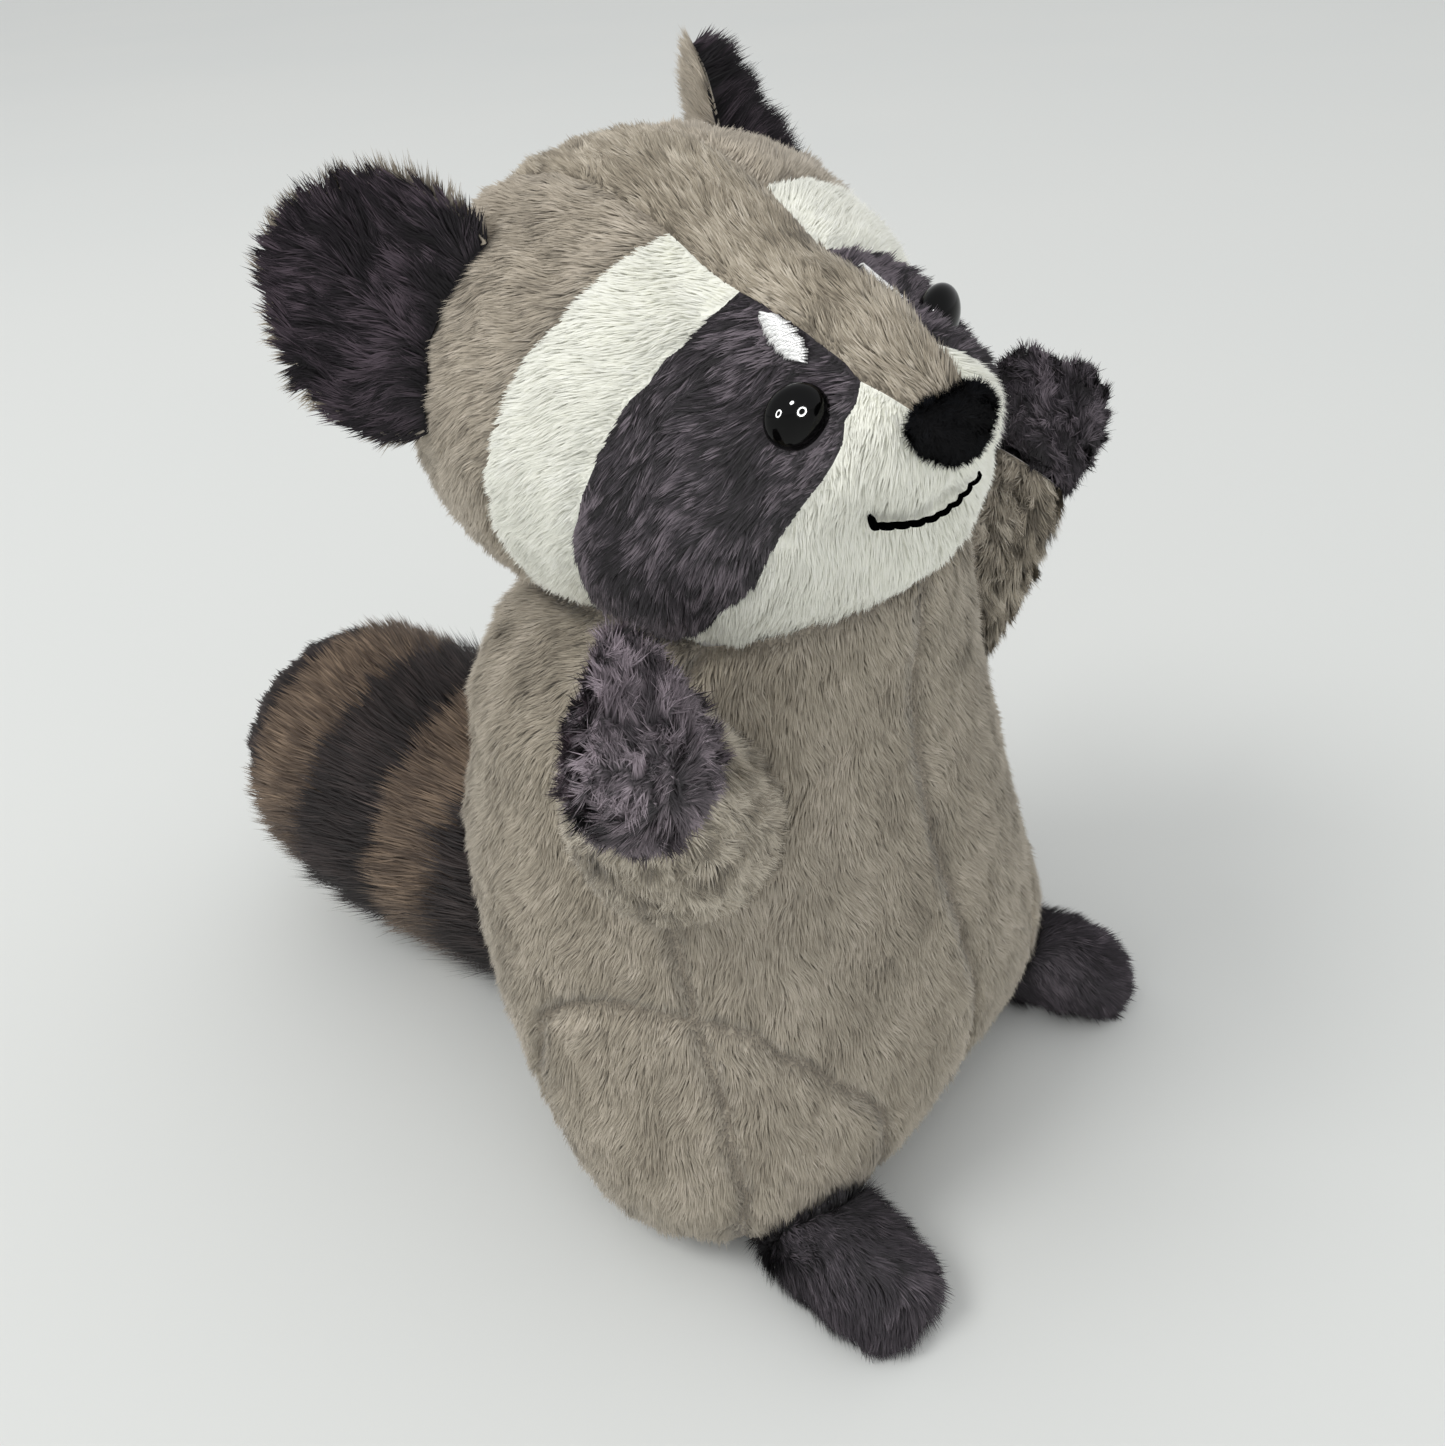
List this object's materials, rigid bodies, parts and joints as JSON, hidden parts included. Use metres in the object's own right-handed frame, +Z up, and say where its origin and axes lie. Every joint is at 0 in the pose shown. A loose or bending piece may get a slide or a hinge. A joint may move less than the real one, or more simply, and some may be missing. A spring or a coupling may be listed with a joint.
{
  "type": "plush raccoon",
  "caption": "Soft plush raccoon sitting upright with raised arms, turned head, glossy eyes and a banded tail behind it.",
  "frame": {"origin": "on the floor under the body, on the flat base panel", "axes": "+Z up, the body faces -Y with its left side at +X, and the tail runs back along +Y"},
  "size_m": [0.2087, 0.2555, 0.2436],
  "materials": {
    "tan_cloth": "short pile",
    "white_cloth": "short pile",
    "dark_cloth": "short pile",
    "tail_brown_pile": "long pile",
    "tail_dark_pile": "long pile",
    "nose_felt": "felt",
    "black_thread": "matt thread",
    "white_satin_thread": "satin stitch",
    "eye_gloss": "polished",
    "washer_plastic": "moulded",
    "stuffing_fibre": "loose fibre"
  },
  "bodies": {
    "root": {"arm_stuffing_l": "stuffing_fibre", "arm_stuffing_r": "stuffing_fibre", "body_back_l": "tan_cloth", "body_back_r": "tan_cloth", "body_base": "tan_cloth", "body_front_l": "tan_cloth", "body_front_r": "tan_cloth", "body_stuffing": "stuffing_fibre", "brow_mark_l": "white_satin_thread", "brow_mark_r": "white_satin_thread", "brow_stripe_l": "white_cloth", "brow_stripe_r": "white_cloth", "ear_back_l": "tan_cloth", "ear_back_r": "tan_cloth", "ear_front_l": "dark_cloth", "ear_front_r": "dark_cloth", "eye_l": "eye_gloss", "eye_r": "eye_gloss", "eye_washer_l": "washer_plastic", "eye_washer_r": "washer_plastic", "foot_l": "dark_cloth", "foot_r": "dark_cloth", "hand_l": "dark_cloth", "hand_r": "dark_cloth", "head_crown": "tan_cloth", "head_side_l": "tan_cloth", "head_side_r": "tan_cloth", "head_stuffing": "stuffing_fibre", "mask_l": "dark_cloth", "mask_r": "dark_cloth", "mouth": "black_thread", "muzzle_l": "white_cloth", "muzzle_r": "white_cloth", "nose": "nose_felt", "sleeve_l": "tan_cloth", "sleeve_r": "tan_cloth", "tail_brown_2": "tail_brown_pile", "tail_brown_4": "tail_brown_pile", "tail_dark_1": "tail_dark_pile", "tail_dark_3": "tail_dark_pile", "tail_dark_5": "tail_dark_pile", "tail_stuffing": "stuffing_fibre", "thigh_back_l": "tan_cloth", "thigh_back_r": "tan_cloth", "thigh_front_l": "tan_cloth", "thigh_front_r": "tan_cloth"}
  },
  "joints": []
}
